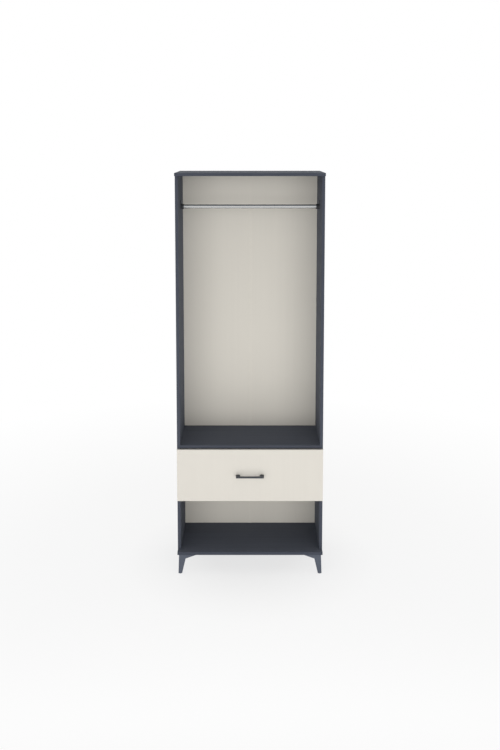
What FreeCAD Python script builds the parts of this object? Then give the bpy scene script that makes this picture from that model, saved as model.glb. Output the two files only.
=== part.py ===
import FreeCAD, Part

import math
import os

from FreeCAD import Vector

# Tall open wardrobe (chifforobe): hanging space with a rail, one drawer, a low niche and four corner legs.
# Millimetres. +X to the right, +Y to the back, +Z up. The front faces -Y. The origin is on the floor, under
# the middle of the whole outline, which the handle makes a little deeper than the cabinet.

# ---------------------------------------------------------------- driving dimensions
# Carcass
overall_width = 780.0
overall_depth = 400.0         # top and bottom panels, front edge to rear edge
board = 16.0                  # melamine-faced chipboard
band = 0.8                    # glued edge band on the edges that show
band_round = 0.5              # radius along a band's outer corners
niche_height = 280.0          # clear, bottom panel to lower shelf
drawer_bay_height = 267.0     # clear, lower shelf to middle shelf
hanging_height = 1437.0       # clear, middle shelf to top panel
panel_overhang = 17.0         # top and bottom panels stand out past the drawer front

# Back
back_thickness = 3.0
back_groove_inset = 19.0      # rear edge of the boards to the back's rear face
back_groove_depth = 7.0
back_clearance = 0.2          # each side of the back in its groove
back_edge_gap = 0.5           # back's edge to the bottom of its groove
strip_width = 16.0            # H-section strip that joins the two halves of the back
strip_flange = 1.5
strip_web = 1.2
shelf_back_gap = 0.4          # shelf's rear edge to the strip

# Legs
leg_height = 104.0
leg_inset = 8.0               # leg's outer faces to the edges of the bottom panel
leg_wing_reach = 91.5         # how far a wing runs along the panel
leg_wing_tip = 3.5            # depth of a wing at its end
leg_knee_reach = 35.6         # where a wing turns down into the leg
leg_knee_drop = 23.3
leg_foot_width = 19.8
leg_splay = 3.4               # the foot stands this far outside the leg's top
leg_wall = 3.5
leg_rib = 3.0
leg_foot_block = 14.0         # solid height at the foot, for the glide's pin
leg_plate_cut = 26.5          # the mounting plate's free corner is cut where x + y passes the reach by this
leg_screw_line = 22.0         # leg's outer faces to its lines of screws
leg_screw_end = 16.5          # wing's end to its first screw
leg_screw_pitch = 29.0
glide_height = 3.0
glide_margin = 1.9            # foot's edge to the glide's rim
glide_round = 0.9
glide_pin_radius = 1.5
glide_pin_length = 8.0

# Hanging rail
rail_radius = 11.0
rail_wall = 1.0
rail_drop = 170.0             # top panel's underside to the rail's axis
rail_end_gap = 0.5
rail_clearance = 0.3
bracket_plate = 3.0
bracket_collar_length = 15.0
bracket_collar_wall = 2.5
bracket_rim = 2.0             # plate's edge past the collar
bracket_ear_rise = 25.0       # rail's axis to the upper screw
bracket_ear_radius = 8.0

# Drawer
drawer_front_gap = 1.6        # drawer front to the side panels' front edges, held by bumpers
drawer_reveal = 2.0           # drawer front to the middle shelf, and past the lower shelf's underside
drawer_box_height = 170.0
drawer_box_rise = 25.0        # lower shelf to the box's lower edge
drawer_past_slide = 10.0      # box sides run on behind the slides
drawer_rear_room = 15.0       # least space from the box to the back
drawer_bottom_thickness = 3.0
drawer_bottom_rise = 12.0     # box's lower edge to the drawer bottom
drawer_groove_depth = 6.0
drawer_groove_clearance = 0.15
drawer_bottom_edge_gap = 0.5  # drawer bottom's edge to the end of its groove
bumper_radius = 4.0
bumper_inset = 22.0           # from the drawer front's upper and lower edges
bumper_gap = 0.1

# Handle
handle_hole_spacing = 128.0
handle_post_width = 22.0
handle_taper = 1.0            # each end, from the drawer front to the grip
handle_height = 10.0
handle_projection = 30.0
handle_bar = 6.0              # thickness of the grip, front to back
handle_round = 1.0
handle_screw_radius = 2.0
handle_screw_bite = 12.0      # screw's length inside the handle
handle_screw_head_radius = 4.0
handle_screw_head_height = 2.2
handle_screw_head_round = 0.9
handle_screw_recess_reach = 2.2

# Telescopic ball slides
slide_step = 50.0             # slides come in lengths this far apart
slide_thickness = 12.7
slide_height = 45.0
slide_steel = 1.2
slide_front_gap = 2.0         # side panel's front edge to the slide
slide_rise = 78.0             # box's lower edge to the slide's centre line
cabinet_lip = 3.0
cabinet_lip_setback = 2.2     # cabinet member's lips to the drawer's side
middle_lip = 2.4
middle_lip_gap = 0.5          # middle member's lips to the drawer member's web
slide_screw_end = 36.0        # slide's ends to their screws
ball_radius = 2.0
ball_clearance = 0.05
cage_steel = 0.5
cage_gap = 0.15
cage_end_margin = 5.0
cage_balls = 5                # in each row
cage_lip = 0.5                # cage's flange past its balls
access_hole_radius = 4.5

# Cam fittings and dowels
cam_radius = 7.5
cam_floor = 3.2               # board left behind the cam's bore
cam_recess = 0.3              # board's face to the cam's top
cam_distance = 34.0           # butt joint to the cam's axis
cam_slot_width = 1.6
cam_slot_length = 10.5
cam_slot_depth = 2.0
cam_clearance = 0.1
cam_cap_rim = 1.0             # cap's edge past the cam
cam_cap_height = 0.8
cam_cap_slope = 0.5
bolt_thread_radius = 2.5
bolt_thread_floor = 5.0       # board left past the bolt's thread
bolt_shank_radius = 3.2
bolt_neck_radius = 2.0
bolt_neck_length = 4.0
bolt_head_radius = 3.0
bolt_head_length = 3.0
bolt_clearance = 0.4          # bolt's shank in its channel
dowel_radius = 4.0
dowel_in_edge = 18.0          # dowel's length in the edge of a board
dowel_floor = 4.0             # board left past a dowel in its face
dowel_spacing = 32.0          # cam fitting to its dowel
joint_end_distance = 55.0     # board's front or rear edge to the nearest cam fitting
drawer_joint_end = 55.0       # box side's upper or lower edge to its cam fitting

# Screws
fit = 0.05                    # radial clearance of fasteners in their holes
screw_radius = 1.75
screw_head_radius = 3.5
screw_floor = 2.0             # least board left past a screw
screw_point = 2.6
screw_recess_reach = 2.1
screw_recess_width = 0.9
screw_recess_depth = 1.2
back_screw_radius = 2.5       # confirmat screws through the box sides
back_screw_head_radius = 4.5
back_screw_bite = 29.0        # their length inside the drawer's back
back_screw_point = 3.7
back_screw_recess_reach = 2.7
back_screw_end = 35.0         # box's upper and lower edges to those screws

# ---------------------------------------------------------------- derived places
half_width = overall_width / 2
inner_half = half_width - board
side_setback = panel_overhang + board + drawer_front_gap
handle_past_panel = max(handle_projection - panel_overhang, 0)
front_y = (handle_past_panel - overall_depth) / 2         # top and bottom panels' front edges
rear_y = front_y + overall_depth
side_front_y = front_y + side_setback
drawer_face_y = front_y + panel_overhang
drawer_rear_y = drawer_face_y + board
back_rear_y = rear_y - back_groove_inset
back_front_y = back_rear_y - back_thickness
groove_front_y = back_front_y - back_clearance
groove_rear_y = back_rear_y + back_clearance
shelf_rear_y = groove_front_y - strip_flange - shelf_back_gap

bottom_z = leg_height + glide_height
bottom_top_z = bottom_z + board
lower_shelf_z = bottom_top_z + niche_height
lower_shelf_top_z = lower_shelf_z + board
middle_shelf_z = lower_shelf_top_z + drawer_bay_height
middle_shelf_top_z = middle_shelf_z + board
top_z = middle_shelf_top_z + hanging_height

rail_y = (side_front_y + back_front_y) / 2
rail_z = top_z - rail_drop
bracket_face_x = -inner_half + bracket_plate
collar_bore = rail_radius + rail_clearance
collar_radius = collar_bore + bracket_collar_wall

slide_room = back_front_y - side_front_y - slide_front_gap - drawer_past_slide - drawer_rear_room
slide_length = slide_step * math.floor(slide_room / slide_step)
drawer_front_low_z = lower_shelf_z - drawer_reveal
drawer_front_high_z = middle_shelf_z - drawer_reveal
drawer_centre_z = (drawer_front_low_z + drawer_front_high_z) / 2
box_half = inner_half - slide_thickness
box_inner_half = box_half - board
box_low_z = lower_shelf_top_z + drawer_box_rise
box_high_z = box_low_z + drawer_box_height
slide_y = side_front_y + slide_front_gap
slide_z = box_low_z + slide_rise
box_rear_y = slide_y + slide_length + drawer_past_slide
box_back_front_y = box_rear_y - board

# A slide's section: u runs from the side panel to the drawer, v up from the slide's centre line.
cage_room = cage_steel + 2 * cage_gap
outer_cage_u = slide_steel + cage_gap
middle_web_u = slide_steel + cage_room
inner_cage_u = middle_web_u + slide_steel + cage_gap
inner_flange_u = middle_web_u + slide_steel + cage_room
drawer_web_u = slide_thickness - slide_steel
middle_lip_u = drawer_web_u - middle_lip_gap - slide_steel
cabinet_lip_u = slide_thickness - cabinet_lip_setback - slide_steel
outer_ball_u = (outer_cage_u + cage_steel + cabinet_lip_u) / 2
inner_ball_u = (inner_cage_u + cage_steel + middle_lip_u) / 2
ball_room = ball_radius + ball_clearance
outer_ball_v = slide_height / 2 - slide_steel - ball_room
middle_v = outer_ball_v - ball_room
inner_ball_v = middle_v - slide_steel - ball_room
drawer_member_v = inner_ball_v - ball_room

board_face = board / 2
cam_bore_depth = board - cam_floor
cam_top = board_face - cam_recess
cam_bottom = board_face - cam_bore_depth
cam_cap_radius = cam_radius + cam_cap_rim
bolt_thread_length = board - bolt_thread_floor
bolt_channel_radius = bolt_shank_radius + bolt_clearance
dowel_in_face = board - dowel_floor
screw_length = board - screw_floor
back_screw_length = board + back_screw_bite
glide_radius = leg_foot_width / 2 - glide_margin

right, back, up = Vector(1, 0, 0), Vector(0, 1, 0), Vector(0, 0, 1)
left, front, down = Vector(-1, 0, 0), Vector(0, -1, 0), Vector(0, 0, -1)
on_plane = 1e-6               # how near a point counts as on a plane
nodes = {}


# ---------------------------------------------------------------- helpers
def add(node, *solids):
    """Put solids into a named node."""
    nodes.setdefault(node, []).extend(solids)


def box(x0, x1, y0, y1, z0, z1):
    """An upright block between two corners, in any order."""
    low = Vector(min(x0, x1), min(y0, y1), min(z0, z1))
    return Part.makeBox(abs(x1 - x0), abs(y1 - y0), abs(z1 - z0), low)


def round_bar(radius, start, end):
    """A round bar between two points."""
    along = end - start
    return Part.makeCylinder(radius, along.Length, start, along)


def prism(points, along):
    """A closed outline of points, extruded."""
    return Part.Face(Part.makePolygon(points + points[:1])).extrude(along)


def mirrored(shape):
    """The same shape on the other side of the cabinet."""
    return shape.mirror(Vector(0, 0, 0), right)


def both_sides(shapes):
    """Shapes of the left side and their copies on the right."""
    return shapes + [mirrored(shape) for shape in shapes]


def mirror_node(node):
    """Add the right-hand copies of the solids already in a node."""
    nodes[node] = both_sides(nodes[node])


def placed(shape, origin, x_axis, z_axis):
    """A shape made about the local origin, turned so that its X and Z follow the given axes."""
    turn = FreeCAD.Rotation(x_axis, z_axis.cross(x_axis), z_axis, "ZXY")
    result = shape.copy()
    result.Placement = FreeCAD.Placement(origin, turn)
    return result


def cut_all(body, cutters):
    """A body with every cutter taken away."""
    return body.cut(cutters) if cutters else body


def fuse_all(body, others):
    """Touching solids joined into one, without seams."""
    return body.fuse(others).removeSplitter()


def round_edges(shape, radius, wanted):
    """Fillet the edges for which wanted(edge) holds."""
    return shape.makeFillet(radius, [edge for edge in shape.Edges if wanted(edge)])


def round_rim(shape, radius, outward):
    """Fillet the circular edge that lies furthest along outward."""
    circles = [edge for edge in shape.Edges if isinstance(edge.Curve, Part.Circle)]
    furthest = max(circle.CenterOfMass.dot(outward) for circle in circles)
    return round_edges(shape, radius, lambda edge: isinstance(edge.Curve, Part.Circle)
                       and furthest - edge.CenterOfMass.dot(outward) < on_plane)


def edge_band(block, outward, along):
    """An edge band with its two long outer corners rounded; outward and along are unit vectors."""
    outer_face = max(block.BoundBox.getPoint(i).dot(outward) for i in range(8))

    def outer_long(edge):
        line = edge.Vertexes[-1].Point - edge.Vertexes[0].Point
        on_face = outer_face - edge.CenterOfMass.dot(outward) < on_plane
        return on_face and line.cross(along).Length < on_plane

    return round_edges(block, min(band_round, band - fit), outer_long)


def cross_recess(reach, width, depth):
    """A cross of two slots from z = 0 up to its depth."""
    half = width / 2
    return [box(-reach, reach, -half, half, 0, depth), box(-half, half, -reach, reach, 0, depth)]


# ---------------------------------------------------------------- fasteners
def countersunk_screw(length, shank, head, point, grow=0.0):
    """A countersunk screw from its head's flat at z = 0 to its tip; grow makes the hole for it."""
    outline = [Vector(0, 0, 0), Vector(head + grow, 0, 0), Vector(shank + grow, 0, head - shank),
               Vector(shank + grow, 0, length - point + grow), Vector(0, 0, length + 2 * grow)]
    return Part.Face(Part.makePolygon(outline + outline[:1])).revolve(Vector(0, 0, 0), up, 360)


def wood_screw_hole():
    """The room that a wood screw takes in what it goes through."""
    return countersunk_screw(screw_length, screw_radius, screw_head_radius, screw_point, fit)


def wood_screw():
    """The short screw that holds slides, legs and rail brackets."""
    plain = countersunk_screw(screw_length, screw_radius, screw_head_radius, screw_point)
    return cut_all(plain, cross_recess(screw_recess_reach, screw_recess_width, screw_recess_depth))


def confirmat_hole():
    """The room that a confirmat screw takes."""
    return countersunk_screw(back_screw_length, back_screw_radius, back_screw_head_radius,
                             back_screw_point, fit)


def confirmat_screw():
    """The long screw that holds the drawer's back."""
    plain = countersunk_screw(back_screw_length, back_screw_radius, back_screw_head_radius, back_screw_point)
    return cut_all(plain, cross_recess(back_screw_recess_reach, screw_recess_width, screw_recess_depth))


# A butt joint is made about its own origin: the joint's plane is z = 0, the board with the cam is above it,
# the board with the bolt's thread below, and the cam is bored from the face at x = board_face.
def cam_lock():
    """The cam: a drum with a passage for the bolt's head and a driver slot."""
    drum = round_bar(cam_radius, Vector(cam_bottom, 0, cam_distance), Vector(cam_top, 0, cam_distance))
    passage_end = cam_distance + bolt_head_length + fit
    passage_start = cam_distance - 2 * cam_radius
    passage = round_bar(bolt_channel_radius, Vector(0, 0, passage_start), Vector(0, 0, passage_end))
    slot = box(cam_top - cam_slot_depth, cam_top, -cam_slot_width / 2, cam_slot_width / 2,
               cam_distance - cam_slot_length / 2, cam_distance + cam_slot_length / 2)
    return cut_all(drum, [passage, slot])


def cam_bolt():
    """The bolt that the cam draws in: thread, shank, neck and head."""
    neck_z = cam_distance - bolt_neck_length
    head_z = cam_distance + bolt_head_length
    thread = round_bar(bolt_thread_radius, Vector(0, 0, -bolt_thread_length), Vector(0, 0, 0))
    shank = round_bar(bolt_shank_radius, Vector(0, 0, 0), Vector(0, 0, neck_z))
    neck = round_bar(bolt_neck_radius, Vector(0, 0, neck_z), Vector(0, 0, cam_distance))
    head = round_bar(bolt_head_radius, Vector(0, 0, cam_distance), Vector(0, 0, head_z))
    return fuse_all(thread, [shank, neck, head])


def cam_cap():
    """The press-in cover over the cam, a thin disc on the board's face."""
    return Part.makeCone(cam_cap_radius, cam_cap_radius - cam_cap_slope, cam_cap_height,
                         Vector(board_face, 0, cam_distance), right)


def cam_board_holes():
    """What the board with the cam loses: the cam's bore and the bolt's channel."""
    bore = round_bar(cam_radius + cam_clearance, Vector(cam_bottom, 0, cam_distance),
                     Vector(board_face, 0, cam_distance))
    return [bore, round_bar(bolt_channel_radius, Vector(0, 0, 0), Vector(0, 0, cam_distance))]


def bolt_board_hole():
    """The hole for the bolt's thread."""
    return round_bar(bolt_thread_radius + fit, Vector(0, 0, -bolt_thread_length - fit), Vector(0, 0, 0))


def dowel(grow=0.0):
    """A dowel across the joint; grow makes the hole for it."""
    start, end = Vector(0, 0, -dowel_in_face - grow), Vector(0, 0, dowel_in_edge + grow)
    return round_bar(dowel_radius + grow, start, end)


def butt_joint(prefix, origin, toward_face, into_cam_board, toward_dowel):
    """One cam fitting and its dowel. Returns the holes of the cam board and of the bolt board."""
    def at(shape, where=origin):
        return placed(shape, where, toward_face, into_cam_board)

    dowel_origin = origin + toward_dowel * dowel_spacing
    add(prefix + "_cam_locks", at(cam_lock()))
    add(prefix + "_cam_bolts", at(cam_bolt()))
    add(prefix + "_cam_caps", at(cam_cap()))
    add(prefix + "_dowels", at(dowel(), dowel_origin))
    dowel_hole = at(dowel(fit), dowel_origin)
    return [at(hole) for hole in cam_board_holes()] + [dowel_hole], [at(bolt_board_hole()), dowel_hole]


# ---------------------------------------------------------------- carcass
def carcass_joints():
    """The left half of the carcass's cam joints, with the holes that each board gets from them."""
    holes = {"side": [], "top": [], "bottom": [], "lower_shelf": [], "middle_shelf": []}
    side_middle_x = -inner_half - board / 2
    rows = ((side_front_y + joint_end_distance, back), (back_front_y - joint_end_distance, front))
    for y, toward_dowel in rows:
        for board_name, z, into_side in (("top", top_z, down), ("bottom", bottom_top_z, up)):
            spot = Vector(side_middle_x, y, z)
            in_side, in_panel = butt_joint("carcass", spot, right, into_side, toward_dowel)
            holes["side"] += in_side
            holes[board_name] += in_panel
        for board_name, z in (("lower_shelf", lower_shelf_z), ("middle_shelf", middle_shelf_z)):
            spot = Vector(-inner_half, y, z + board / 2)
            in_shelf, in_side = butt_joint("carcass", spot, down, right, toward_dowel)
            holes[board_name] += in_shelf
            holes["side"] += in_side
    return holes


def side_panel(holes):
    """The left side, with a groove for the back, and the band on its front edge."""
    low, high = bottom_top_z, top_z
    core = box(-half_width, -inner_half, side_front_y + band, rear_y, low, high)
    groove = box(-inner_half - back_groove_depth, -inner_half, groove_front_y, groove_rear_y, low, high)
    strip = box(-half_width, -inner_half, side_front_y, side_front_y + band, low, high)
    return cut_all(core, holes + [groove]), edge_band(strip, front, up)


def end_panel(low_z, into_board, inner_z, holes):
    """Top or bottom panel, grooved from its inner face, and the bands on its front edge and both ends."""
    high_z = low_z + board
    reach = inner_half + back_groove_depth
    core = box(-half_width + band, half_width - band, front_y + band, rear_y, low_z, high_z)
    groove_end_z = inner_z + into_board.z * back_groove_depth
    groove = box(-reach, reach, groove_front_y, groove_rear_y, inner_z, groove_end_z)
    front_band = box(-half_width, half_width, front_y, front_y + band, low_z, high_z)
    end_band = box(-half_width, -half_width + band, front_y + band, rear_y, low_z, high_z)
    bands = [edge_band(front_band, front, right)] + both_sides([edge_band(end_band, left, back)])
    return cut_all(core, both_sides(holes) + [groove]), bands


def shelf(low_z, holes):
    """A fixed shelf between the sides, and the band on its front edge."""
    high_z = low_z + board
    core = box(-inner_half, inner_half, side_front_y + band, shelf_rear_y, low_z, high_z)
    strip = box(-inner_half, inner_half, side_front_y, side_front_y + band, low_z, high_z)
    return cut_all(core, both_sides(holes)), edge_band(strip, front, right)


def build_carcass(extra_side_holes):
    """Sides, top, bottom and the two fixed shelves."""
    holes = carcass_joints()
    side, side_band = side_panel(holes["side"] + extra_side_holes)
    top, top_bands = end_panel(top_z, up, top_z, holes["top"])
    bottom, bottom_bands = end_panel(bottom_z, down, bottom_top_z, holes["bottom"] + leg_screw_holes())
    lower, lower_band = shelf(lower_shelf_z, holes["lower_shelf"])
    middle, middle_band = shelf(middle_shelf_z, holes["middle_shelf"])
    add("left_side_panel", side)
    add("right_side_panel", mirrored(side))
    add("top_panel", top)
    add("bottom_panel", bottom)
    add("lower_shelf", lower)
    add("middle_shelf", middle)
    add("carcass_edge_bands", lower_band, middle_band, *(both_sides([side_band]) + top_bands + bottom_bands))
    for group in ("cam_locks", "cam_bolts", "dowels", "cam_caps"):
        mirror_node("carcass_" + group)


def build_back():
    """Two thin halves in the grooves, joined by an upright H-section strip behind the shelves."""
    web_half, strip_half = strip_web / 2, strip_width / 2
    reach = inner_half + back_groove_depth - back_edge_gap
    low = bottom_top_z - back_groove_depth + back_edge_gap
    high = top_z + back_groove_depth - back_edge_gap
    half = box(-reach, -web_half - back_clearance, back_front_y, back_rear_y, low, high)
    add("back_panel_left", half)
    add("back_panel_right", mirrored(half))
    strip_front_y, strip_rear_y = groove_front_y - strip_flange, groove_rear_y + strip_flange
    front_flange = box(-strip_half, strip_half, strip_front_y, groove_front_y, bottom_top_z, top_z)
    web = box(-web_half, web_half, groove_front_y, groove_rear_y, bottom_top_z, top_z)
    rear_flange = box(-strip_half, strip_half, groove_rear_y, strip_rear_y, bottom_top_z, top_z)
    add("back_joint_strip", fuse_all(edge_band(front_flange, front, up), [web, rear_flange]))


# ---------------------------------------------------------------- legs
# A leg is made about its outer top corner, with x and y running inward along its two wings.
leg_corner = Vector(-half_width + leg_inset, front_y + leg_inset, bottom_z)
foot_centre = Vector(leg_foot_width / 2 - leg_splay, leg_foot_width / 2 - leg_splay, -leg_height)


def leg_outline(along, across):
    """The leg's outline on one face, as a prism right through the leg."""
    corners = ((0, 0), (leg_wing_reach, 0), (leg_wing_reach, -leg_wing_tip),
               (leg_knee_reach, -leg_knee_drop), (leg_foot_width - leg_splay, -leg_height),
               (-leg_splay, -leg_height))
    points = [along * distance + up * z - across * leg_wing_reach for distance, z in corners]
    return prism(points, across * (3 * leg_wing_reach))


def leg_screws(make):
    """Two screws, or their holes, through the mounting plate along each wing."""
    outer = leg_wing_reach - leg_screw_end
    inner = outer - leg_screw_pitch
    spots = [(outer, leg_screw_line), (inner, leg_screw_line),
             (leg_screw_line, inner), (leg_screw_line, outer)]
    return [placed(make(), Vector(x, y, -leg_wall), right, up) for x, y in spots]


def rear_copy(shape):
    """The same shape at the rear corner: turned over about the panel's middle line."""
    return shape.mirror(Vector(0, (front_y + rear_y) / 2, 0), back)


def leg_screw_holes():
    """Holes in the left half of the bottom panel for its two legs' screws."""
    holes = leg_screws(wood_screw_hole)
    for hole in holes:
        hole.translate(leg_corner)
    return holes + [rear_copy(hole) for hole in holes]


def corner_leg():
    """A moulded leg: two walls with their wings, a mounting plate, a rib between them and a solid foot."""
    outer = leg_outline(right, back).common(leg_outline(back, right))
    inside = outer.copy()
    inside.translate(Vector(leg_wall, leg_wall, 0))
    span = 2 * leg_wing_reach
    hollow = inside.common(box(-span, span, -span, span, leg_foot_block - leg_height, -leg_wall))
    corner = leg_wing_reach + leg_plate_cut
    free_corner = prism([Vector(corner, 0, 0), Vector(corner, corner, 0), Vector(0, corner, 0)],
                        down * leg_height)
    half = leg_rib / math.sqrt(2)
    diagonal = prism([Vector(-half, 0, 0), Vector(0, -half, 0), Vector(span, span - half, 0),
                      Vector(span - half, span, 0)], down * leg_height)
    leg = fuse_all(outer.cut(hollow), [outer.common(diagonal)]).cut(free_corner)
    pin_hole = round_bar(glide_pin_radius + fit, foot_centre, foot_centre + up * (glide_pin_length + fit))
    return cut_all(leg, leg_screws(wood_screw_hole) + [pin_hole])


def glide():
    """A nail-on glide: a disc under the foot with a pin in it."""
    disc = round_bar(glide_radius, foot_centre - up * glide_height, foot_centre)
    disc = round_rim(disc, min(glide_round, glide_height / 2), down)
    return disc.fuse(round_bar(glide_pin_radius, foot_centre, foot_centre + up * glide_pin_length))


def build_legs():
    """Four legs with their glides and screws, mirrored from the front left one."""
    leg, pad, screws = corner_leg(), glide(), leg_screws(wood_screw)
    for shape in [leg, pad] + screws:
        shape.translate(leg_corner)
    corners = {
        "front_left": lambda shape: shape,
        "front_right": mirrored,
        "rear_left": rear_copy,
        "rear_right": lambda shape: mirrored(rear_copy(shape)),
    }
    for name, copy in corners.items():
        add("leg_" + name, copy(leg))
        add("leg_glides", copy(pad))
        add("leg_screws", *[copy(screw) for screw in screws])


# ---------------------------------------------------------------- hanging rail
def bracket_screws(make):
    """The left bracket's screws, or their holes: one above the collar, one behind the rail's end."""
    spots = [Vector(bracket_face_x, rail_y, rail_z + rise) for rise in (bracket_ear_rise, 0)]
    return [placed(make(), spot, up, left) for spot in spots]


def rail_bracket():
    """The left end support: a plate that narrows up to a screw ear, and a closed collar."""
    low = Vector(-inner_half, rail_y, rail_z)
    high = low + up * bracket_ear_rise
    through = right * bracket_plate
    plate_radius = collar_radius + bracket_rim
    lean = math.asin((plate_radius - bracket_ear_radius) / bracket_ear_rise)
    away_front = Vector(0, -math.cos(lean), math.sin(lean))
    away_back = Vector(0, math.cos(lean), math.sin(lean))
    neck = prism([low + away_front * plate_radius, high + away_front * bracket_ear_radius,
                  high + away_back * bracket_ear_radius, low + away_back * plate_radius], through)
    collar_start = low + through
    collar_end = collar_start + right * bracket_collar_length
    solid = fuse_all(round_bar(plate_radius, low, collar_start),
                     [round_bar(bracket_ear_radius, high, high + through), neck,
                      round_bar(collar_radius, collar_start, collar_end)])
    bore = round_bar(collar_bore, collar_start, collar_end)
    return cut_all(solid, [bore] + bracket_screws(wood_screw_hole))


def build_rail():
    """The tube between its two brackets."""
    bracket = rail_bracket()
    add("rail_bracket_left", bracket)
    add("rail_bracket_right", mirrored(bracket))
    add("rail_bracket_screws", *both_sides(bracket_screws(wood_screw)))
    start = Vector(bracket_face_x + rail_end_gap, rail_y, rail_z)
    end = Vector(-start.x, rail_y, rail_z)
    tube = round_bar(rail_radius, start, end).cut(round_bar(rail_radius - rail_wall, start, end))
    add("hanging_rail", tube)


# ---------------------------------------------------------------- telescopic slides
def slide_point(u, y, v):
    """A point of the left slide, with y counted from its front end."""
    return Vector(-inner_half + u, slide_y + y, slide_z + v)


def slide_block(u0, u1, v0, v1, y0=0.0, y1=slide_length):
    """A block of the left slide's section."""
    low, high = slide_point(u0, y0, v0), slide_point(u1, y1, v1)
    return box(low.x, high.x, low.y, high.y, low.z, high.z)


def channel(web, *edges):
    """A web with the same flange and lip above and below it."""
    below = [edge.mirror(slide_point(0, 0, 0), up) for edge in edges]
    return fuse_all(web, list(edges) + below)


def slide_screws(u, out, make):
    """Countersunk screws, or their holes, whose heads are flush at u and which point outwards."""
    places = (slide_screw_end, slide_length / 2, slide_length - slide_screw_end)
    return [placed(make(), slide_point(u, y, 0), up, out) for y in places]


def cabinet_screws(make):
    """Screws from the left cabinet member into the side panel."""
    return slide_screws(slide_steel, left, make)


def drawer_side_screws(make):
    """Screws from the left drawer member into the drawer's side."""
    return slide_screws(drawer_web_u, right, make)


def cabinet_member():
    """The fixed member: web on the side panel, flanges with lips that keep the balls in."""
    half = slide_height / 2
    lip_end_u, inside_v = cabinet_lip_u + slide_steel, half - slide_steel
    web = slide_block(0, slide_steel, -half, half)
    flange = slide_block(0, lip_end_u, inside_v, half)
    lip = slide_block(cabinet_lip_u, lip_end_u, inside_v - cabinet_lip, half)
    return cut_all(channel(web, flange, lip), cabinet_screws(wood_screw_hole))


def middle_member():
    """The member between the two, with holes to reach the cabinet member's screws."""
    lip_end_u, inside_v = middle_lip_u + slide_steel, middle_v - slide_steel
    web = slide_block(middle_web_u, middle_web_u + slide_steel, -middle_v, middle_v)
    flange = slide_block(middle_web_u, lip_end_u, inside_v, middle_v)
    lip = slide_block(middle_lip_u, lip_end_u, inside_v - middle_lip, middle_v)
    places = (slide_screw_end, slide_length / 2, slide_length - slide_screw_end)
    access = [round_bar(access_hole_radius, slide_point(middle_web_u, y, 0),
                        slide_point(middle_web_u + slide_steel, y, 0)) for y in places]
    return cut_all(channel(web, flange, lip), access)


def drawer_member():
    """The inner member, screwed to the drawer's side."""
    web = slide_block(drawer_web_u, slide_thickness, -drawer_member_v, drawer_member_v)
    flange = slide_block(inner_flange_u, slide_thickness, drawer_member_v - slide_steel, drawer_member_v)
    return cut_all(channel(web, flange), drawer_side_screws(wood_screw_hole))


# A cage's ends on the closed slide leave it inside both of its members over the whole travel.
cage_front = slide_length / 4 + cage_end_margin
cage_rear = 3 * slide_length / 4 - cage_end_margin


def ball_places(u, v):
    """The centres of one cage's balls, in a lower and an upper row."""
    first, last = cage_front + 2 * ball_radius, cage_rear - 2 * ball_radius
    pitch = (last - first) / (cage_balls - 1)
    return [slide_point(u, first + i * pitch, row * v) for row in (-1, 1) for i in range(cage_balls)]


def ball_cage(web_u, ball_u, ball_v):
    """A thin channel with a hole round each ball."""
    inner_v, outer_v = ball_v - cage_steel / 2, ball_v + cage_steel / 2
    flange_end_u = ball_u + ball_radius + cage_lip
    web = slide_block(web_u, web_u + cage_steel, -outer_v, outer_v, cage_front, cage_rear)
    flange = slide_block(web_u, flange_end_u, inner_v, outer_v, cage_front, cage_rear)
    holes = [round_bar(ball_room, spot - up * cage_steel, spot + up * cage_steel)
             for spot in ball_places(ball_u, ball_v)]
    return cut_all(channel(web, flange), holes)


def balls(u, v):
    """The balls of one cage."""
    return [Part.makeSphere(ball_radius, spot) for spot in ball_places(u, v)]


def build_slides():
    """A left and a right slide, each with three members and two ball cages, and their screws."""
    pieces = {
        "cabinet_member": [cabinet_member()],
        "middle_member": [middle_member()],
        "drawer_member": [drawer_member()],
        "outer_ball_cage": [ball_cage(outer_cage_u, outer_ball_u, outer_ball_v)],
        "inner_ball_cage": [ball_cage(inner_cage_u, inner_ball_u, inner_ball_v)],
        "outer_balls": balls(outer_ball_u, outer_ball_v),
        "inner_balls": balls(inner_ball_u, inner_ball_v),
    }
    for name, solids in pieces.items():
        add("slide_left_" + name, *solids)
        add("slide_right_" + name, *[mirrored(solid) for solid in solids])
    add("cabinet_slide_screws", *both_sides(cabinet_screws(wood_screw)))
    add("drawer_slide_screws", *both_sides(drawer_side_screws(wood_screw)))


# ---------------------------------------------------------------- drawer
def drawer_joints():
    """Cam joints between the left box side and the drawer front, with the holes in each."""
    in_side, in_front = [], []
    rows = ((box_low_z + drawer_joint_end, down), (box_high_z - drawer_joint_end, up))
    for z, toward_dowel in rows:
        spot = Vector(-box_half + board / 2, drawer_rear_y, z)
        side_holes, front_holes = butt_joint("drawer", spot, right, back, toward_dowel)
        in_side += side_holes
        in_front += front_holes
    return in_side, in_front


def drawer_bottom_block(edge_gap, face_gap):
    """The drawer bottom, or with other gaps the groove that it slides in."""
    reach = box_inner_half + drawer_groove_depth - edge_gap
    low = box_low_z + drawer_bottom_rise - face_gap
    high = box_low_z + drawer_bottom_rise + drawer_bottom_thickness + face_gap
    return box(-reach, reach, drawer_rear_y - drawer_groove_depth + edge_gap,
               box_back_front_y + drawer_groove_depth - edge_gap, low, high)


def back_screws(make):
    """Confirmat screws, or their holes, through the left box side into the drawer's back."""
    heights = (box_low_z + back_screw_end, box_high_z - back_screw_end)
    return [placed(make(), Vector(-box_half, box_rear_y - board / 2, z), up, right) for z in heights]


def handle_screw_spots():
    """Where the handle screws meet the drawer front's rear face."""
    return [Vector(side * handle_hole_spacing / 2, drawer_rear_y, drawer_centre_z) for side in (-1, 1)]


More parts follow.
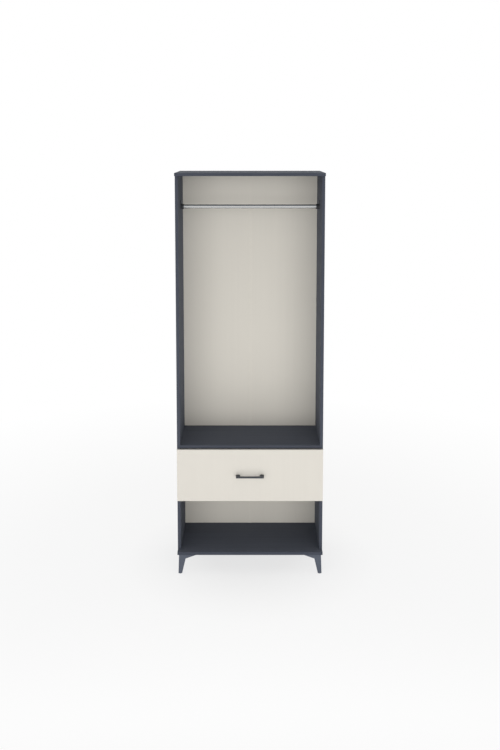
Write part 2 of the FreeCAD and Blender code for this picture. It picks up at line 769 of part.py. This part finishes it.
def handle_screw_holes():
    """Holes through the drawer front and into the handle's posts."""
    length = board + handle_screw_bite + fit
    radius = handle_screw_radius + fit
    return [round_bar(radius, spot + front * length, spot) for spot in handle_screw_spots()]


def handle_screws():
    """Pan-headed screws from inside the drawer."""
    screws = []
    for spot in handle_screw_spots():
        top = spot + back * handle_screw_head_height
        head = round_rim(round_bar(handle_screw_head_radius, spot, top), handle_screw_head_round, back)
        shank = round_bar(handle_screw_radius, spot + front * (board + handle_screw_bite), spot)
        slots = cross_recess(handle_screw_recess_reach, screw_recess_width, screw_recess_depth)
        screws.append(cut_all(shank.fuse(head), [placed(slot, top, right, front) for slot in slots]))
    return screws


def handle():
    """A flat bar pull: wide posts that taper slightly to the grip."""
    base = (handle_hole_spacing + handle_post_width) / 2
    inner = base - handle_post_width
    tip_half = base - handle_taper
    tip_y = drawer_face_y - handle_projection
    grip_y = tip_y + handle_bar
    low = drawer_centre_z - handle_height / 2
    outline = [(-base, drawer_face_y), (-tip_half, tip_y), (tip_half, tip_y), (base, drawer_face_y),
               (inner, drawer_face_y), (inner, grip_y), (-inner, grip_y), (-inner, drawer_face_y)]
    body = prism([Vector(x, y, low) for x, y in outline], up * handle_height)
    rounded = round_edges(body, handle_round, lambda edge: edge.BoundBox.YMin < drawer_face_y - on_plane)
    return cut_all(rounded, handle_screw_holes())


def drawer_front_panel(holes):
    """The drawer front and the bands on its four edges."""
    low_z, high_z = drawer_front_low_z, drawer_front_high_z
    side_x = half_width - band
    core = box(-side_x, side_x, drawer_face_y, drawer_rear_y, low_z + band, high_z - band)
    upright = box(-half_width, -side_x, drawer_face_y, drawer_rear_y, low_z, high_z)
    lower = box(-side_x, side_x, drawer_face_y, drawer_rear_y, low_z, low_z + band)
    upper = box(-side_x, side_x, drawer_face_y, drawer_rear_y, high_z - band, high_z)
    bands = both_sides([edge_band(upright, left, up)])
    return cut_all(core, holes), bands + [edge_band(lower, down, right), edge_band(upper, up, right)]


def build_drawer_box(side_cuts):
    """Sides, back and bottom, with bands on the upper edges."""
    groove = drawer_bottom_block(0, drawer_groove_clearance)
    core_high_z = box_high_z - band
    side = box(-box_half, -box_inner_half, drawer_rear_y, box_rear_y, box_low_z, core_high_z)
    screw_holes = back_screws(confirmat_hole) + drawer_side_screws(wood_screw_hole)
    side = cut_all(side, side_cuts + [groove] + screw_holes)
    rear = box(-box_inner_half, box_inner_half, box_back_front_y, box_rear_y, box_low_z, core_high_z)
    side_band = box(-box_half, -box_inner_half, drawer_rear_y, box_rear_y, core_high_z, box_high_z)
    rear_band = box(-box_inner_half, box_inner_half, box_back_front_y, box_rear_y, core_high_z, box_high_z)
    add("drawer_side_left", side)
    add("drawer_side_right", mirrored(side))
    add("drawer_back", cut_all(rear, both_sides(back_screws(confirmat_hole)) + [groove]))
    add("drawer_bottom", drawer_bottom_block(drawer_bottom_edge_gap, 0))
    add("drawer_box_edge_bands", edge_band(rear_band, up, right))
    add("drawer_box_edge_bands", *both_sides([edge_band(side_band, up, back)]))
    add("drawer_back_screws", *both_sides(back_screws(confirmat_screw)))


def build_drawer():
    """The drawer: front with its handle and bumpers, box, and the fittings that join them."""
    in_side, in_front = drawer_joints()
    for group in ("cam_locks", "cam_bolts", "dowels", "cam_caps"):
        mirror_node("drawer_" + group)
    build_drawer_box(in_side)
    groove = drawer_bottom_block(0, drawer_groove_clearance)
    panel, bands = drawer_front_panel(both_sides(in_front) + [groove] + handle_screw_holes())
    add("drawer_front", panel)
    add("drawer_front_edge_bands", *bands)
    add("drawer_handle", handle())
    add("handle_screws", *handle_screws())
    for z in (drawer_front_low_z + bumper_inset, drawer_front_high_z - bumper_inset):
        spot = Vector(-inner_half - board / 2, drawer_rear_y, z)
        add("drawer_bumpers", round_bar(bumper_radius, spot, spot + back * (drawer_front_gap - bumper_gap)))
    mirror_node("drawer_bumpers")


def export():
    """Write one STEP file per node."""
    os.makedirs("parts", exist_ok=True)
    for name, solids in nodes.items():
        shape = solids[0] if len(solids) == 1 else Part.makeCompound(solids)
        shape.exportStep("parts/%s.step" % name)
        facts = (name, len(shape.Solids), shape.Volume, shape.isValid())
        print("%-32s %3d solids  %9.0f mm3  valid %s" % facts)


build_carcass(bracket_screws(wood_screw_hole) + cabinet_screws(wood_screw_hole))
build_back()
build_legs()
build_rail()
build_slides()
build_drawer()
export()
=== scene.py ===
import math

import bpy
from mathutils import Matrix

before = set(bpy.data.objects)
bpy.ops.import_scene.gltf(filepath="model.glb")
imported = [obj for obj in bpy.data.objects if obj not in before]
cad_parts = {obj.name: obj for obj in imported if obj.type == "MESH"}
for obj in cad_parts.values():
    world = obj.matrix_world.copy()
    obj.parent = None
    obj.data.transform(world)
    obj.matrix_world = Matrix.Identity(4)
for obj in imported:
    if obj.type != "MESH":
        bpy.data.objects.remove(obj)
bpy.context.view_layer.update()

# ---------------------------------------------------------------------------
# Camera: straight in front, a little above the cabinet's top, looking slightly down
# ---------------------------------------------------------------------------

FRAME_HEIGHT = 750          # pixels, the long side of the picture
SENSOR = 36.0               # millimetres along the long side
FOCAL_PIXELS = 891.7        # distance to the picture plane, in pixels
CAMERA_PLACE = (0.0, -4.780, 2.300)
CAMERA_PITCH = -6.01        # degrees, and negative is below level
CAMERA_SHIFT = -0.182       # share of the long side

camera_data = bpy.data.cameras.new("camera")
camera_data.sensor_width = SENSOR
camera_data.lens = FOCAL_PIXELS / FRAME_HEIGHT * SENSOR
camera_data.shift_y = CAMERA_SHIFT
camera = bpy.data.objects.new("camera", camera_data)
camera.location = CAMERA_PLACE
camera.rotation_euler = (math.radians(90.0 + CAMERA_PITCH), 0.0, 0.0)
bpy.context.scene.collection.objects.link(camera)
bpy.context.scene.camera = camera

bpy.context.scene.view_settings.view_transform = "Standard"

# ---------------------------------------------------------------------------
# Colours, linear
# ---------------------------------------------------------------------------

DARK_BOARD = (0.098, 0.108, 0.133)
DARK_BAND = (0.048, 0.055, 0.075)
CREAM_BOARD = (0.645, 0.616, 0.560)
# cream of the back, written lighter than the board's cream: painted light that makes up for the shade
# inside the cabinet
CREAM_BACK_PAINTED_LIGHTER = (0.722, 0.688, 0.617)
RAW_FIBRE = (0.235, 0.130, 0.066)
CHIP_LIGHT = (0.560, 0.410, 0.245)
CHIP_DARK = (0.215, 0.130, 0.068)
LEG_GREY = (0.096, 0.110, 0.141)
HANDLE_GREY = (0.040, 0.043, 0.051)
BRACKET_GREY = (0.036, 0.038, 0.043)
FITTING_BLACK = (0.030, 0.032, 0.037)
CHROME = (0.54, 0.55, 0.55)
BALL_STEEL = (0.74, 0.74, 0.75)
SLIDE_ZINC = (0.56, 0.58, 0.61)
CAST_ZINC = (0.47, 0.47, 0.46)
SCREW_ZINC = (0.62, 0.62, 0.60)
BEECH_LIGHT = (0.62, 0.42, 0.24)
BEECH_DARK = (0.42, 0.25, 0.12)
FELT = (0.40, 0.38, 0.34)
FLOOR = (0.95, 0.95, 0.95)
WHITE = (1.0, 1.0, 1.0)


def shade(colour, amount=1.0):
    """A colour as RGBA, lighter or darker by a share of itself."""
    return (*(min(1.0, part * amount) for part in colour), 1.0)


# ---------------------------------------------------------------------------
# Node trees
# ---------------------------------------------------------------------------

# The Mix node's sockets for colours, which share their names with those for numbers
MIX_FIRST = 6
MIX_SECOND = 7
MIX_RESULT = 2

# A noise stays between these two values over most of a surface
NOISE_LOW = 0.30
NOISE_HIGH = 0.70

# How far a normal leans to an axis where a board's broad face begins and where it is whole
FACE_BEGINS = 0.35
FACE_WHOLE = 0.65


class Nodes:
    """The nodes of one material or world."""

    def __init__(self, owner):
        owner.use_nodes = True
        self.tree = owner.node_tree
        self.tree.nodes.clear()

    def add(self, kind, **settings):
        """A new node with settings of its own, such as its operation."""
        node = self.tree.nodes.new(kind)
        for key, value in settings.items():
            setattr(node, key, value)
        return node

    def feed(self, socket, value):
        """Link an output to a socket, or write a plain value there."""
        if isinstance(value, bpy.types.NodeSocket):
            self.tree.links.new(value, socket)
        else:
            socket.default_value = value

    def fill(self, node, *in_turn, **by_name):
        """Feed a node's sockets in turn, or by name with underscores for spaces."""
        for socket, value in zip(node.inputs, in_turn):
            self.feed(socket, value)
        for name, value in by_name.items():
            self.feed(node.inputs[name.replace("_", " ")], value)
        return node

    def calculate(self, operation, *values):
        """What a Math node makes of these values."""
        node = self.add("ShaderNodeMath", operation=operation)
        return self.fill(node, *values).outputs["Value"]

    def blend(self, share, first, second):
        """Two shaders: the first where share is 0, the second where it is 1."""
        node = self.add("ShaderNodeMixShader")
        return self.fill(node, share, first, second).outputs["Shader"]

    def seen_directly(self):
        """1 for what the camera sees, also in gloss and through glass."""
        path = self.add("ShaderNodeLightPath").outputs
        either = self.calculate("MAXIMUM", path["Is Camera Ray"], path["Is Glossy Ray"])
        return self.calculate("MAXIMUM", either, path["Is Transmission Ray"])


class Finish(Nodes):
    """A material in the making: one Principled shader and what feeds it."""

    def __init__(self, name):
        self.material = bpy.data.materials.new(name)
        super().__init__(self.material)
        self.output = self.add("ShaderNodeOutputMaterial")
        self.shader = self.add("ShaderNodeBsdfPrincipled")
        self.fill(self.output, Surface=self.shader.outputs["BSDF"])
        self.place = self.add("ShaderNodeTexCoord").outputs["Object"]

    def set(self, **values):
        """Set or link the shader's own sockets."""
        self.fill(self.shader, **values)

    def stretched(self, sizes):
        """Object place divided by a feature size in metres along x, y and z."""
        node = self.add("ShaderNodeMapping")
        scale = [1.0 / size for size in sizes]
        return self.fill(node, Vector=self.place, Scale=scale).outputs["Vector"]

    def noise(self, sizes, detail=3.0, roughness=0.5, distortion=0.0):
        """Soft random values around 0.5, with features of these sizes."""
        node = self.add("ShaderNodeTexNoise")
        self.fill(node, Vector=self.stretched(sizes), Scale=1.0,
                  Detail=detail, Roughness=roughness, Distortion=distortion)
        return node.outputs["Fac"]

    def cells(self, sizes, output):
        """Separate cells of these sizes: their random Color, or the Distance to each one's middle."""
        node = self.add("ShaderNodeTexVoronoi")
        return self.fill(node, Vector=self.stretched(sizes), Scale=1.0).outputs[output]

    def span(self, source, low, high, start=0.0, stop=1.0):
        """Carry start..stop of a source over to low..high."""
        node = self.add("ShaderNodeMapRange", clamp=True)
        self.fill(node, Value=source, From_Min=start, From_Max=stop, To_Min=low, To_Max=high)
        return node.outputs["Result"]

    def uneven(self, noise, low, high):
        """From low to high over most of a noise."""
        return self.span(noise, low, high, NOISE_LOW, NOISE_HIGH)

    def ramp(self, source, *stops):
        """Colours by the value of a source; each stop is a value and its colour."""
        node = self.fill(self.add("ShaderNodeValToRGB"), Fac=source)
        points = node.color_ramp.elements
        while len(points) < len(stops):
            points.new(1.0)
        for point, (position, colour) in zip(points, stops):
            point.position = position
            point.color = colour
        return node.outputs["Color"]

    def two_tone(self, noise, first, second):
        """From one colour to another over most of a noise."""
        return self.ramp(noise, (NOISE_LOW, first), (NOISE_HIGH, second))

    def mix(self, share, first, second):
        """Two colours: the first where share is 0, the second where it is 1."""
        node = self.fill(self.add("ShaderNodeMix", data_type="RGBA"), Factor=share)
        self.feed(node.inputs[MIX_FIRST], first)
        self.feed(node.inputs[MIX_SECOND], second)
        return node.outputs[MIX_RESULT]

    def fleck(self, tone, source, colour, most, start=0.0, stop=1.0):
        """Lay a colour over a tone: none of it up to start of the source, and its most from stop on."""
        return self.mix(self.span(source, 0.0, most, start, stop), tone, colour)

    def relief(self, height, depth, strength, under=None):
        """A bump, over the one under it if there is one; depth is the relief's height in metres."""
        node = self.fill(self.add("ShaderNodeBump"), Strength=strength, Distance=depth, Height=height)
        if under is not None:
            self.fill(node, Normal=under)
        return node.outputs["Normal"]

    def lean(self, axis):
        """How far a face looks along an axis, from -1 to 1."""
        normal = self.add("ShaderNodeNewGeometry").outputs["True Normal"]
        return self.fill(self.add("ShaderNodeSeparateXYZ"), Vector=normal).outputs[axis]

    def broad_face(self, thin):
        """1 on a board's two broad faces and 0 on its edges; thin is its thickness axis."""
        lean = self.calculate("ABSOLUTE", self.lean(thin))
        return self.span(lean, low=0.0, high=1.0, start=FACE_BEGINS, stop=FACE_WHOLE)


# ---------------------------------------------------------------------------
# Materials: sizes and depths are in metres, and a noise's detail in octaves
# ---------------------------------------------------------------------------

def even(size):
    """Feature sizes that are the same all ways."""
    return (size, size, size)


def along(axis, length, across):
    """Feature sizes of a grain that runs along one axis."""
    return [length if name == axis else across for name in "XYZ"]


def chipboard(finish):
    """The pressed chips of a raw board edge."""
    chips = finish.cells((0.0042, 0.0042, 0.0015), "Color")
    dust = finish.noise(even(0.0008), detail=2.0)
    tone = finish.ramp(chips, (0.15, shade(CHIP_DARK)), (0.55, shade(CHIP_LIGHT, 0.78)),
                       (0.95, shade(CHIP_LIGHT, 1.1)))
    return finish.fleck(tone, dust, shade(CHIP_LIGHT, 0.85), most=0.45)


def on_chipboard(finish, thin, decor):
    """Decor on a board's broad faces and bare chips on its edges."""
    return finish.mix(finish.broad_face(thin), chipboard(finish), decor)


def melamine_dark(finish, grain):
    """Dark blue-grey decor: a fine pearl over a faint wood grain along one axis.

    Returns its colour and its height, which is lowest in the pores.
    """
    streaks = finish.noise(along(grain, length=0.80, across=0.011),
                           detail=4.0, roughness=0.55, distortion=0.3)
    pores = finish.noise(along(grain, length=0.045, across=0.0012), roughness=0.6)
    pearl = finish.noise(even(0.0016), roughness=0.6)
    tone = finish.ramp(streaks, (0.28, shade(DARK_BOARD, 0.91)), (0.50, shade(DARK_BOARD)),
                       (0.74, shade(DARK_BOARD, 1.08)))
    tone = finish.fleck(tone, pearl, shade(DARK_BOARD, 1.35), most=0.45, start=0.42, stop=0.72)
    tone = finish.fleck(tone, pores, shade(DARK_BOARD, 0.68), most=0.55, start=0.60, stop=0.80)
    sunk = finish.span(pores, low=0.0, high=-1.2, start=0.55, stop=0.85)
    return tone, finish.calculate("ADD", pearl, sunk)


def melamine_cream(finish, grain, base):
    """Cream decor with a faint wood grain along one axis: its colour and its pores."""
    streaks = finish.noise(along(grain, length=1.10, across=0.016), distortion=0.2)
    pores = finish.noise(along(grain, length=0.060, across=0.0013), roughness=0.6)
    cloud = finish.noise(even(0.30), detail=1.0)
    tone = finish.ramp(streaks, (0.25, shade(base, 0.989)), (0.55, shade(base)),
                       (0.80, shade(base, 1.006)))
    tone = finish.fleck(tone, pores, shade(base, 0.93), most=0.35, start=0.64, stop=0.84)
    tone = finish.fleck(tone, cloud, shade(base, 0.985), most=0.35, start=0.35, stop=0.70)
    return tone, pores


def dark_board(name, thin, grain):
    """A chipboard faced with dark decor on both sides; thin is its thickness axis."""
    finish = Finish(name)
    decor, height = melamine_dark(finish, grain)
    finish.set(Base_Color=on_chipboard(finish, thin, decor),
               Roughness=finish.span(height, low=0.80, high=0.62, start=-0.3, stop=0.7),
               Specular_IOR_Level=0.06,
               Normal=finish.relief(height, depth=0.00006, strength=0.6))
    return finish.material


def cream_board(name, thin, grain):
    """The same board faced with cream decor."""
    finish = Finish(name)
    decor, pores = melamine_cream(finish, grain, CREAM_BOARD)
    finish.set(Base_Color=on_chipboard(finish, thin, decor),
               Roughness=finish.uneven(pores, low=0.46, high=0.60),
               Specular_IOR_Level=0.35,
               Normal=finish.relief(pores, depth=0.00005, strength=0.6))
    return finish.material


def hardboard(name, thin, grain, decor_side):
    """Thin fibreboard with decor on one side and raw brown fibre on the other.

    Its decor looks along the thickness axis where decor_side is 1, and against it where it is -1.
    """
    finish = Finish(name)
    # this decor's cream is painted lighter, against the shade inside the cabinet
    decor, pores = melamine_cream(finish, grain, CREAM_BACK_PAINTED_LIGHTER)
    fibres = finish.noise(even(0.0035), detail=5.0, roughness=0.7, distortion=0.8)
    press = finish.noise(even(0.09), detail=2.0)
    raw = finish.ramp(fibres, (0.30, shade(RAW_FIBRE, 0.62)), (0.52, shade(RAW_FIBRE)),
                      (0.75, shade(RAW_FIBRE, 1.45)))
    raw = finish.fleck(raw, press, shade(RAW_FIBRE, 1.18), most=0.5, start=0.4, stop=0.75)
    faced = finish.span(finish.lean(thin), low=0.0, high=1.0,
                        start=decor_side * FACE_BEGINS, stop=decor_side * FACE_WHOLE)
    raw_rough = finish.span(fibres, low=0.72, high=0.88)
    decor_rough = finish.span(pores, low=0.48, high=0.60)
    finish.set(Base_Color=finish.mix(faced, raw, decor),
               Roughness=finish.mix(faced, raw_rough, decor_rough),
               Specular_IOR_Level=0.35,
               Normal=finish.relief(fibres, depth=0.00005, strength=0.35))
    return finish.material


def edge_band(name, base, level):
    """Plastic edging: a fine even texture over a faint cloud; level is its specular level."""
    finish = Finish(name)
    fine = finish.noise(even(0.0009), detail=2.0)
    cloud = finish.noise(even(0.22), detail=2.0)
    tone = finish.two_tone(cloud, shade(base, 0.96), shade(base, 1.04))
    finish.set(Base_Color=finish.fleck(tone, fine, shade(base, 1.12), most=0.25, start=0.4, stop=0.7),
               Roughness=finish.uneven(fine, low=0.46, high=0.60),
               Specular_IOR_Level=level,
               Normal=finish.relief(fine, depth=0.00003, strength=0.5))
    return finish.material


def moulded(name, base, rough, pit=0.0013, depth=0.00007, level=0.5, spread=0.06):
    """Injection-moulded plastic with a spark-eroded texture and a painted glint on its raised points;
    spread is how uneven its colour is and sets how light the glint is.
    """
    finish = Finish(name)
    pits = finish.noise(even(pit), roughness=0.65)
    flow = finish.noise((0.05, 0.05, 0.018), detail=2.0, distortion=0.6)
    tone = finish.two_tone(flow, shade(base, 1.0 - spread), shade(base, 1.0 + spread))
    # painted glint: the texture's raised points are painted lighter than the plastic
    painted_glint = shade(base, 1.0 + 3.0 * spread)
    finish.set(Base_Color=finish.fleck(tone, pits, painted_glint, most=0.3, start=0.4, stop=0.75),
               Roughness=finish.uneven(pits, low=rough - 0.06, high=rough + 0.08),
               Specular_IOR_Level=level,
               Normal=finish.relief(pits, depth=depth, strength=0.5))
    return finish.material


def powder_coat(name, base, rough):
    """Satin powder coat: orange peel over a fine grit, whose flecks are a painted sparkle."""
    finish = Finish(name)
    peel = finish.noise(even(0.0022), detail=2.0)
    grit_and_sparkle = finish.noise(even(0.0005), detail=2.0, roughness=0.7)
    tone = finish.two_tone(peel, shade(base, 0.92), shade(base, 1.08))
    waves = finish.relief(peel, depth=0.00006, strength=0.6)
    # the grit's flecks are painted lighter: a painted sparkle
    finish.set(Base_Color=finish.fleck(tone, grit_and_sparkle, shade(base, 1.6), most=0.35, start=0.5, stop=0.8),
               Roughness=finish.uneven(peel, low=rough - 0.05, high=rough + 0.05),
               Specular_IOR_Level=0.35,
               Normal=finish.relief(grit_and_sparkle, depth=0.00002, strength=0.5, under=waves))
    return finish.material


def drawn_metal(name, base, rough, run, spread=0.06, tint=0.08, metal=1.0):
    """Metal with the fine lines of drawing or rolling along one axis.

    Spread is how uneven its roughness is, and tint how uneven its colour.
    """
    finish = Finish(name)
    lines = finish.noise(along(run, length=0.12, across=0.0004), roughness=0.6)
    stains = finish.noise((0.012, 0.030, 0.012), detail=4.0, roughness=0.6, distortion=0.5)
    drawn = finish.span(lines, low=rough - spread, high=rough + spread, start=0.25, stop=0.75)
    dulled = finish.uneven(stains, low=0.0, high=0.5 * spread)
    finish.set(Base_Color=finish.two_tone(stains, shade(base, 1.0 - tint), shade(base, 1.0 + tint)),
               Metallic=metal,
               Roughness=finish.calculate("ADD", drawn, dulled),
               Normal=finish.relief(lines, depth=0.00001, strength=0.4))
    return finish.material


def cast_metal(name, base, rough):
    """Die-cast or plated small parts, slightly uneven."""
    finish = Finish(name)
    skin = finish.noise(even(0.0012), detail=4.0, roughness=0.65)
    bloom = finish.noise(even(0.006), detail=2.0)
    tone = finish.two_tone(bloom, shade(base, 0.88), shade(base, 1.08))
    finish.set(Base_Color=finish.fleck(tone, skin, shade(base, 0.72), most=0.4, start=0.5, stop=0.8),
               Metallic=1.0,
               Roughness=finish.uneven(skin, low=rough - 0.08, high=rough + 0.10),
               Normal=finish.relief(skin, depth=0.00003, strength=0.5))
    return finish.material


def beech_wood(name):
    """Beech dowels: short dark flecks along the grain."""
    finish = Finish(name)
    grain = finish.noise(along("X", length=0.02, across=0.0012), detail=4.0, roughness=0.6)
    flecks = finish.cells(along("X", length=0.004, across=0.0007), "Distance")
    tone = finish.two_tone(grain, shade(BEECH_DARK), shade(BEECH_LIGHT))
    near = finish.span(flecks, low=0.35, high=0.0, start=0.0, stop=0.35)
    finish.set(Base_Color=finish.mix(near, tone, shade(BEECH_DARK, 0.7)),
               Roughness=finish.span(grain, low=0.60, high=0.75),
               Normal=finish.relief(grain, depth=0.00006, strength=0.6))
    return finish.material


def felt_pad(name):
    """Pressed felt: tangled fibres and a soft sheen."""
    finish = Finish(name)
    fibres = finish.noise((0.0007, 0.0007, 0.0004), detail=5.0, roughness=0.75, distortion=1.5)
    finish.set(Base_Color=finish.two_tone(fibres, shade(FELT, 0.7), shade(FELT, 1.2)),
               Roughness=finish.span(fibres, low=0.85, high=1.0),
               Sheen_Weight=0.35,
               Sheen_Roughness=0.6,
               Normal=finish.relief(fibres, depth=0.00015, strength=0.8))
    return finish.material


dark_upright = dark_board("melamine_dark_upright", thin="X", grain="Z")
dark_level = dark_board("melamine_dark_level", thin="Z", grain="X")
dark_band = edge_band("edge_band_dark", DARK_BAND, level=0.3)
cream_band = edge_band("edge_band_cream", CREAM_BOARD, level=0.35)
cream_front = cream_board("melamine_cream_front", thin="Y", grain="Z")
cream_side = cream_board("melamine_cream_side", thin="X", grain="Y")
cream_rear = cream_board("melamine_cream_rear", thin="Y", grain="X")
back_board = hardboard("hardboard_back", thin="Y", grain="Z", decor_side=-1)
drawer_floor = hardboard("hardboard_drawer", thin="Z", grain="Y", decor_side=1)
# the joint strip takes the back's cream, painted lighter against the shade inside the cabinet
strip_plastic = moulded("plastic_cream_strip", CREAM_BACK_PAINTED_LIGHTER, rough=0.55,
                        pit=0.0009, depth=0.00003, spread=0.012)
cap_plastic = moulded("plastic_cream_cap", CREAM_BOARD, rough=0.50, pit=0.0007, depth=0.00003)
leg_plastic = moulded("plastic_leg", LEG_GREY, rough=0.55, level=0.3)
fitting_plastic = moulded("plastic_dark", FITTING_BLACK, rough=0.50, pit=0.0008)
handle_coat = powder_coat("powder_coat_handle", HANDLE_GREY, rough=0.50)
bracket_coat = powder_coat("powder_coat_bracket", BRACKET_GREY, rough=0.50)
rail_chrome = drawn_metal("chrome_rail", CHROME, rough=0.20, run="X",
                          spread=0.03, tint=0.015, metal=0.88)
slide_steel = drawn_metal("zinc_slide", SLIDE_ZINC, rough=0.30, run="Y")
ball_steel = drawn_metal("steel_ball", BALL_STEEL, rough=0.10, run="Y", spread=0.03, tint=0.03)
cast_zinc = cast_metal("zinc_cast", CAST_ZINC, rough=0.45)
screw_zinc = cast_metal("zinc_screw", SCREW_ZINC, rough=0.32)
beech = beech_wood("beech_dowel")
felt = felt_pad("felt_bumper")

# ---------------------------------------------------------------------------
# What each piece is made of
# ---------------------------------------------------------------------------

SIDES = ("left", "right")
LEGS = [f"leg_{end}_{side}" for end in ("front", "rear") for side in SIDES]

FINISHES = {
    "top_panel": dark_level,
    "bottom_panel": dark_level,
    "lower_shelf": dark_level,
    "middle_shelf": dark_level,
    "carcass_edge_bands": dark_band,
    "carcass_cam_locks": cast_zinc,
    "carcass_cam_bolts": screw_zinc,
    "carcass_cam_caps": fitting_plastic,
    "carcass_dowels": beech,
    "back_joint_strip": strip_plastic,
    "leg_glides": fitting_plastic,
    "leg_screws": screw_zinc,
    "rail_bracket_screws": screw_zinc,
    "hanging_rail": rail_chrome,
    "cabinet_slide_screws": screw_zinc,
    "drawer_slide_screws": screw_zinc,
    "drawer_cam_locks": cast_zinc,
    "drawer_cam_bolts": screw_zinc,
    "drawer_cam_caps": cap_plastic,
    "drawer_dowels": beech,
    "drawer_back": cream_rear,
    "drawer_bottom": drawer_floor,
    "drawer_box_edge_bands": cream_band,
    "drawer_back_screws": screw_zinc,
    "drawer_front": cream_front,
    "drawer_front_edge_bands": cream_band,
    "drawer_handle": handle_coat,
    "handle_screws": screw_zinc,
    "drawer_bumpers": felt,
}
for leg in LEGS:
    FINISHES[leg] = leg_plastic
for side in SIDES:
    FINISHES[f"{side}_side_panel"] = dark_upright
    FINISHES[f"back_panel_{side}"] = back_board
    FINISHES[f"rail_bracket_{side}"] = bracket_coat
    FINISHES[f"drawer_side_{side}"] = cream_side
    for member in ("cabinet_member", "middle_member", "drawer_member",
                   "outer_ball_cage", "inner_ball_cage"):
        FINISHES[f"slide_{side}_{member}"] = slide_steel
    for row in ("outer_balls", "inner_balls"):
        FINISHES[f"slide_{side}_{row}"] = ball_steel

for name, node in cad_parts.items():
    for slot in node.material_slots:
        slot.material = FINISHES[name]

# ---------------------------------------------------------------------------
# Rounded edges of the moulded legs and the handle
# ---------------------------------------------------------------------------

LEG_ROUNDING = 0.0008       # metres
HANDLE_ROUNDING = 0.0005    # metres
ROUNDING_STEPS = 2          # faces around a rounded edge
ROUNDED_FROM = 35.0         # degrees that an edge turns by; flatter ones stay as they are
SAME_POINT = 1e-6           # metres between corners that are one


def round_edges(node, radius):
    """Round a piece's sharp edges, once its faces share their corners."""
    weld = node.modifiers.new("weld", "WELD")
    weld.merge_threshold = SAME_POINT
    bevel = node.modifiers.new("edge", "BEVEL")
    bevel.width = radius
    bevel.segments = ROUNDING_STEPS
    bevel.limit_method = "ANGLE"
    bevel.angle_limit = math.radians(ROUNDED_FROM)
    bevel.harden_normals = True


for leg in LEGS:
    round_edges(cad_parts[leg], LEG_ROUNDING)
round_edges(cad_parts["drawer_handle"], HANDLE_ROUNDING)

# ---------------------------------------------------------------------------
# Floor
# ---------------------------------------------------------------------------

FLOOR_HALF = 14.0           # metres from the middle to each side
# Share of plain white in what the camera sees of the floor, by metres from the middle; the lower shares
# near the middle are painted shade around the cabinet
FLOOR_GLOW = ((0.20, 0.70), (0.70, 0.84), (1.30, 0.86), (3.20, 1.0))


def studio_floor(name):
    """A pale matt floor, which the camera sees turn to plain white away from the middle, with painted
    shade around the middle.
    """
    finish = Finish(name)
    tone = finish.noise(even(0.9), detail=2.0)
    finish.set(Base_Color=finish.ramp(tone, (0.35, shade(FLOOR, 0.995)), (0.65, shade(FLOOR))),
               Roughness=finish.span(tone, low=0.85, high=0.95),
               Specular_IOR_Level=0.0)
    reach = finish.add("ShaderNodeVectorMath", operation="LENGTH")
    metres_out = finish.fill(reach, finish.place).outputs["Value"]
    farthest = FLOOR_GLOW[-1][0]
    rings = [(metres / farthest, shade(WHITE, share)) for metres, share in FLOOR_GLOW]
    # less white near the middle leaves the floor darker around the cabinet: painted shade that deepens
    # its shadow
    glow_and_painted_shade = finish.ramp(finish.span(metres_out, low=0.0, high=1.0, stop=farthest), *rings)
    glow = finish.fill(finish.add("ShaderNodeEmission"), Strength=1.0)
    share_seen = finish.calculate("MULTIPLY", glow_and_painted_shade, finish.seen_directly())
    surface = finish.blend(share_seen, finish.shader.outputs["BSDF"], glow.outputs["Emission"])
    finish.fill(finish.output, Surface=surface)
    return finish.material


corners = [(x * FLOOR_HALF, y * FLOOR_HALF, 0.0) for x, y in ((-1, -1), (1, -1), (1, 1), (-1, 1))]
floor_mesh = bpy.data.meshes.new("floor")
floor_mesh.from_pydata(corners, [], [(0, 1, 2, 3)])
floor_mesh.materials.append(studio_floor("studio_floor"))
floor = bpy.data.objects.new("floor", floor_mesh)
bpy.context.scene.collection.objects.link(floor)

# ---------------------------------------------------------------------------
# Light: an even world, two wide lamps in front, a low one near, one on the floor, two behind
# ---------------------------------------------------------------------------

WORLD_LEVEL = 0.48          # light from all around, where 1 is white

world = bpy.data.worlds.new("studio")
sky = Nodes(world)
plain = sky.fill(sky.add("ShaderNodeBackground"), Color=shade(WHITE), Strength=WORLD_LEVEL)
white = sky.fill(sky.add("ShaderNodeBackground"), Color=shade(WHITE), Strength=1.0)
surroundings = sky.blend(sky.seen_directly(), plain.outputs["Background"], white.outputs["Background"])
sky.fill(sky.add("ShaderNodeOutputWorld"), Surface=surroundings)
bpy.context.scene.world = world


def lamp(name, place, width, height, level, tilt=0.0):
    """A soft panel that faces the cabinet; tilt is how many degrees down it looks.

    Its level is its brightness, where 1 is white.
    """
    data = bpy.data.lights.new(name, "AREA")
    data.shape = "RECTANGLE"
    data.size = width
    data.size_y = height
    data.energy = level * math.pi * width * height
    panel = bpy.data.objects.new(name, data)
    panel.location = place
    panel.rotation_euler = (math.pi / 2 - math.radians(tilt), 0.0,
                            math.atan2(-place[1], -place[0]) - math.pi / 2)
    panel.visible_camera = False
    panel.visible_glossy = False    # gloss shows the white surroundings instead
    bpy.context.scene.collection.objects.link(panel)


lamp("lamp_front", place=(0.0, -6.0, 2.1), width=8.0, height=4.0, level=1.04)
lamp("lamp_front_low", place=(0.0, -6.0, 0.8), width=8.0, height=1.5, level=1.45)
lamp("lamp_near", place=(0.0, -1.6, 0.45), width=2.4, height=0.3, level=1.7, tilt=8.0)
lamp("lamp_floor", place=(0.0, -1.7, 0.01), width=4.0, height=2.2, level=0.75, tilt=-90.0)
for side, place_x in zip(SIDES, (-3.4, 3.4)):
    lamp(f"lamp_rear_{side}", place=(place_x, 3.4, 1.05), width=2.4, height=1.9, level=1.6)
